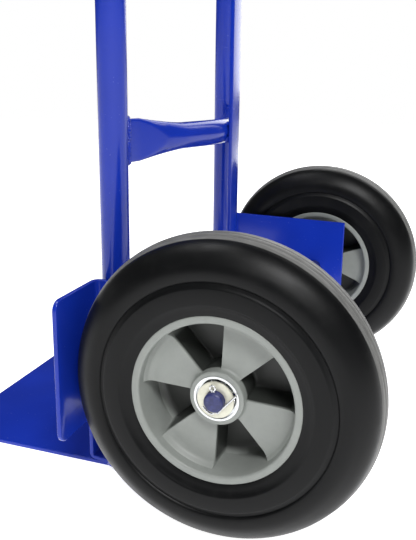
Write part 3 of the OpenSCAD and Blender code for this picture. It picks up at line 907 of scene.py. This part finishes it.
class HANDTRUCK_OT_hubs(bpy.types.Operator):
    """Model the moulded hubs: a lipped barrel, a boss and a zigzag web of spokes and pockets"""

    bl_idname = "handtruck.hubs"
    bl_label = "Hubs"

    def execute(self, context):
        s = context.scene.hand_truck_wheels
        low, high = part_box("left_hub")
        centre = wheel_centre("left")
        half = (high.x - low.x) / 2
        rim, boss = s.rim_radius, s.boss_radius
        web = self.web(centre, s)
        mouth, slope, throat, slope_end = 0.0625, 0.0612, 0.0605, 0.012
        lip, seat_depth = half - 0.0036, 0.004
        barrel = lathe(rounded([
            (rim, half, 0.0012), (mouth, half, 0.0022), (slope, slope_end, 0.004),
            (throat, 0, 0), (slope, -slope_end, 0.004), (mouth, -half, 0.0022),
            (rim, -half, 0.0012), (rim, -lip, 0.0003), (rim - seat_depth, -lip, 0),
            (rim - seat_depth, lip, 0), (rim, lip, 0.0003)], 0.001, 6),
            centre, (1, 0, 0), 144)
        boss_half, cup_radius, bore, cup_depth = 0.0204, 0.01745, 0.0149, 0.009
        shelf = boss_half - cup_depth
        core = lathe(rounded([
            (boss + 0.0005, 0, 0), (boss, boss_half, 0.0014), (cup_radius, boss_half, 0.0004),
            (cup_radius, shelf, 0), (bore, shelf, 0), (bore, -shelf, 0), (cup_radius, -shelf, 0),
            (cup_radius, -boss_half, 0.0004), (boss, -boss_half, 0.0014)], 0.001, 5),
            centre, (1, 0, 0), 96)
        hub = joined(web, barrel, core)
        other = mirrored(hub)
        self.turn(hub, centre, s.left_phase)
        self.turn(other, wheel_centre("right"), s.right_phase)
        hand_over(hub, "left_wheel_hub", "left_wheel", "hub_plastic", "left_hub", smooth=50)
        hand_over(other, "right_wheel_hub", "right_wheel", "hub_plastic", "right_hub", smooth=50)
        return {"FINISHED"}

    def turn(self, obj, centre, phase):
        """Turns a hub about the axle, from the rear upwards."""
        with editing(obj):
            spin = Matrix.Rotation(phase, 4, "X")
            move = Matrix.Translation(centre) @ spin @ Matrix.Translation(-centre)
            for point in bmesh.from_edit_mesh(obj.data).verts:
                point.co = move @ point.co

    def web(self, centre, s):
        """The zigzag web as a closed shell: a fine grid whose rows run out and back."""
        face, floor, wall = 0.0135, -0.0105, 0.003
        edge = s.spoke_angle / 2
        near = [math.radians(a * 0.55) for a in range(-8, 17)]
        marks = []
        for k in range(4):
            marks += [k * math.pi / 2 + edge - a for a in near]
            marks += [k * math.pi / 2 - edge + a for a in near]
        marks = sorted(m % math.tau for m in marks)
        angles = []
        for start, end in zip(marks, marks[1:] + [marks[0] + math.tau]):
            count = max(1, math.ceil((end - start) / math.radians(2.2)))
            angles += [start + (end - start) * k / count for k in range(count)]
        inner, outer = s.boss_radius - 0.0015, 0.0622
        rows = [inner, 0.0220, 0.0223, 0.0228, 0.0235, 0.0243, 0.0252]
        rows += [0.028 + 0.0036 * k for k in range(7)]
        rows += [0.0530 + 0.0007 * k for k in range(12)] + [outer]
        across, along = len(angles), 2 * len(rows)
        choose()
        bpy.ops.mesh.primitive_grid_add(
            x_subdivisions=across, y_subdivisions=along, size=2, location=(0, 0, 0))
        web = bpy.context.active_object
        with editing(web):
            for point in bmesh.from_edit_mesh(web.data).verts:
                column = round((point.co.x + 1) / 2 * across) % across
                row = round((point.co.y + 1) / 2 * along) % along
                front = row < len(rows)
                radius = rows[row if front else 2 * len(rows) - 1 - row]
                angle = angles[column]
                quarter = (angle + math.pi / 4) % (math.pi / 2) - math.pi / 4
                inside = radius * math.sin(edge - abs(quarter))
                height = self.height(radius, inside if front else inside - wall, floor, face)
                if not front:
                    height -= wall + 2 * self.fillet(radius)
                point.co = centre + Vector(
                    (height, radius * math.cos(angle), radius * math.sin(angle)))
            tidy_normals()
        return web

    def fillet(self, radius):
        """How far the web's surface rises where it meets the barrel and the boss."""
        rise = 0.0
        barrel_side, boss_side = (radius - 0.0540, 0.0070, 0.86), (0.0252 - radius, 0.0030, 1)
        for over, round_off, share in (barrel_side, boss_side):
            if over > 0:
                over = min(over, round_off)
                rise += share * (round_off - math.sqrt(round_off ** 2 - over ** 2))
        return rise

    def height(self, radius, inside, floor, face):
        """Height of the web's front where a point lies inside of its spoke's edge."""
        t = clamp((inside + 0.0024) / 0.0030)
        ramp = t * t * t * (t * (6 * t - 15) + 10)
        return floor + (face - floor) * ramp + self.fillet(radius)


class HANDTRUCK_OT_axle(bpy.types.Operator):
    """Model the axle with its washers and split pins, and finish its spacers"""

    bl_idname = "handtruck.axle"
    bl_label = "Axle and Fixings"

    def execute(self, context):
        low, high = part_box("axle")
        radius, half = (high.z - low.z) / 2, high.x
        centre = middle("axle")
        chamfer = 0.0014
        axle = lathe(rounded([
            (0, half, 0), (radius - chamfer, half, 0.0006), (radius, half - chamfer, 0.0006),
            (radius, chamfer - half, 0.0006), (radius - chamfer, -half, 0.0006), (0, -half, 0)],
            0.0006, 3), centre, (1, 0, 0), 64, closed=False)
        hand_over(axle, "axle_rod", "frame", "axle_paint", "axle")
        for side in SIDES:
            for place in ("outer", "inner"):
                node = f"{side}_{place}_washer"
                low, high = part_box(node)
                outer, thick = (high.z - low.z) / 2, (high.x - low.x) / 2
                ring = lathe(rounded([
                    (radius + 0.0001, -thick), (radius + 0.0001, thick), (outer, thick, 0.0007),
                    (outer, -thick, 0.0004)], 0.0003, 4), middle(node), (1, 0, 0), 72)
                hand_over(ring, f"{node}_disc", "frame", "zinc_washer", node)
            self.pin(side, radius)
            finish_piece(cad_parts[f"{side}_axle_spacer"], "zinc_steel")
        return {"FINISHED"}

    def pin(self, side, radius):
        """A split pin: an eye above the axle, and two legs bent round it below."""
        x = middle(f"{side}_cotter_pin").x
        centre = wheel_centre(side)
        eye, wire, lean = 0.0021, 0.00078, math.radians(6.7)
        eye_z = radius + 0.0009 + eye
        route = [(-0.0094, -0.0041), (-0.0082, -0.0060), (-0.0058, -0.0085), (-0.0028, -0.0100),
                 (-0.0009, -0.0092), (-wire, -0.0070), (-wire, radius)]
        for k in range(15):
            a = math.radians(250 - 320 * k / 14)
            route.append((eye * math.cos(a), eye_z + eye * math.sin(a)))
        route += [(wire, radius), (wire, -0.0070), (0.0010, -0.0090), (0.0024, -0.0092),
                  (0.0044, -0.0068), (0.0182, 0.0056)]
        points = []
        for across, up in route:
            y = across * math.cos(lean) - up * math.sin(lean)
            z = across * math.sin(lean) + up * math.cos(lean)
            points.append((x, centre.y + y, centre.z + z))
        pin = swept(points, wire, 3)
        hand_over(pin, f"{side}_split_pin", "frame", "zinc_steel", f"{side}_cotter_pin")


class HANDTRUCK_OT_bearings(bpy.types.Operator):
    """Finish the steel cups, cones and balls of the four bearings"""

    bl_idname = "handtruck.bearings"
    bl_label = "Bearings"

    def execute(self, context):
        for name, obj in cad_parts.items():
            if "bearing" in name:
                finish_piece(obj, "bearing_steel")
        return {"FINISHED"}


class HANDTRUCK_OT_studio(bpy.types.Operator):
    """Lay the pale floor, hang the softboxes and set up the camera"""

    bl_idname = "handtruck.studio"
    bl_label = "Studio"

    def execute(self, context):
        s = context.scene.hand_truck_studio
        choose()
        bpy.ops.mesh.primitive_circle_add(vertices=96, radius=5, fill_type="NGON",
                                          location=(0, 0, -0.0002))
        floor = bpy.context.active_object
        floor.name = "floor"
        floor.data.materials.append(self.floor_finish())
        self.surround(context, s.surround)
        self.softbox("key_light", (1.9, 1.1, 2.6), (0.1, 0.0, 0.25), 1.0, s.key_power)
        self.softbox("fill_light", (0.3, -1.1, 3.0), (0.1, -0.1, 0.1), 1.0, s.fill_power)
        self.softbox("back_light", (-2.6, 0.5, 1.3), (0.0, 0.0, 0.3), 2.2, s.back_power)
        self.camera(context, s.lens)
        context.scene.view_settings.view_transform = "Standard"
        return {"FINISHED"}

    def floor_finish(self):
        f = Finish("pale_floor")
        tone = f.noise(3, 3)
        return f.done(Base_Color=f.mix(tone, (0.86, 0.86, 0.87), (0.90, 0.90, 0.90)),
                      Emission_Color=(1, 1, 1, 1), Emission_Strength=0.92,
                      Roughness=0.55 + tone * 0.1)

    def surround(self, context, strength):
        """Dim walls that light the object, which look white from anywhere."""
        world = bpy.data.worlds.new("studio")
        context.scene.world = world
        world.use_nodes = True
        tree = world.node_tree
        tree.nodes.clear()
        walls = tree.nodes.new("ShaderNodeBackground")
        walls.inputs["Color"].default_value = (1, 1, 1, 1)
        walls.inputs["Strength"].default_value = strength
        seen = tree.nodes.new("ShaderNodeBackground")
        seen.inputs["Color"].default_value = (1, 1, 1, 1)
        rays = tree.nodes.new("ShaderNodeLightPath")
        mix = tree.nodes.new("ShaderNodeMixShader")
        end = tree.nodes.new("ShaderNodeOutputWorld")
        tree.links.new(rays.outputs["Is Camera Ray"], mix.inputs[0])
        tree.links.new(walls.outputs[0], mix.inputs[1])
        tree.links.new(seen.outputs[0], mix.inputs[2])
        tree.links.new(mix.outputs[0], end.inputs["Surface"])

    def softbox(self, name, place, target, size, power):
        light = bpy.data.lights.new(name, "AREA")
        light.energy = power
        light.size = size
        obj = bpy.data.objects.new(name, light)
        obj.location = place
        obj.rotation_euler = (Vector(target) - Vector(place)).to_track_quat("-Z", "Y").to_euler()
        bpy.context.collection.objects.link(obj)

    def camera(self, context, lens):
        """A camera at standing reach beside the left wheel, rolled a degree."""
        place = Vector((0.67684, 0.24513, 0.36791))
        yaw, pitch, roll = math.radians(17.884), math.radians(13.591), math.radians(1.089)
        ahead = Vector((-math.cos(yaw) * math.cos(pitch), -math.sin(yaw) * math.cos(pitch),
                        -math.sin(pitch)))
        right = ahead.cross(Vector((0, 0, 1))).normalized()
        up = right.cross(ahead)
        x_axis = right * math.cos(roll) + up * math.sin(roll)
        y_axis = up * math.cos(roll) - right * math.sin(roll)
        data = bpy.data.cameras.new("camera")
        data.lens = lens
        data.shift_x, data.shift_y = -0.0333, -0.0593
        data.clip_start = 0.02
        obj = bpy.data.objects.new("camera", data)
        turn = Matrix((x_axis, y_axis, -ahead)).transposed().to_4x4()
        obj.matrix_world = Matrix.Translation(place) @ turn
        bpy.context.collection.objects.link(obj)
        context.scene.camera = obj


class HANDTRUCK_PT_panel(bpy.types.Panel):
    """The sidebar panel: every size and colour, and a button for each group of pieces"""

    bl_label = "Hand Truck"
    bl_idname = "HANDTRUCK_PT_panel"
    bl_space_type = "VIEW_3D"
    bl_region_type = "UI"
    bl_category = "Hand Truck"

    def draw(self, context):
        for group in ("hand_truck_frame", "hand_truck_wheels", "hand_truck_studio"):
            settings = getattr(context.scene, group)
            box = self.layout.box()
            for name in settings.__annotations__:
                box.prop(settings, name)
        for operator in PIECES:
            self.layout.operator(operator.bl_idname)


PIECES = (
    HANDTRUCK_OT_side_tubes,
    HANDTRUCK_OT_crossbars,
    HANDTRUCK_OT_centre_strap,
    HANDTRUCK_OT_toe_plate,
    HANDTRUCK_OT_brackets,
    HANDTRUCK_OT_welds,
    HANDTRUCK_OT_grips,
    HANDTRUCK_OT_tyres,
    HANDTRUCK_OT_hubs,
    HANDTRUCK_OT_axle,
    HANDTRUCK_OT_bearings,
    HANDTRUCK_OT_studio,
)
SETTINGS = {
    "hand_truck_frame": HandTruckFrameSettings,
    "hand_truck_wheels": HandTruckWheelSettings,
    "hand_truck_studio": HandTruckStudioSettings,
}


def register():
    for name, group in SETTINGS.items():
        bpy.utils.register_class(group)
        setattr(bpy.types.Scene, name, PointerProperty(type=group))
    for cls in (*PIECES, HANDTRUCK_PT_panel):
        bpy.utils.register_class(cls)


def unregister():
    for cls in reversed((*PIECES, HANDTRUCK_PT_panel)):
        bpy.utils.unregister_class(cls)
    for name, group in SETTINGS.items():
        delattr(bpy.types.Scene, name)
        bpy.utils.unregister_class(group)


def main():
    register()
    for operator in PIECES:
        group, name = operator.bl_idname.split(".")
        getattr(getattr(bpy.ops, group), name)()
    choose()


if __name__ == "__main__":
    main()
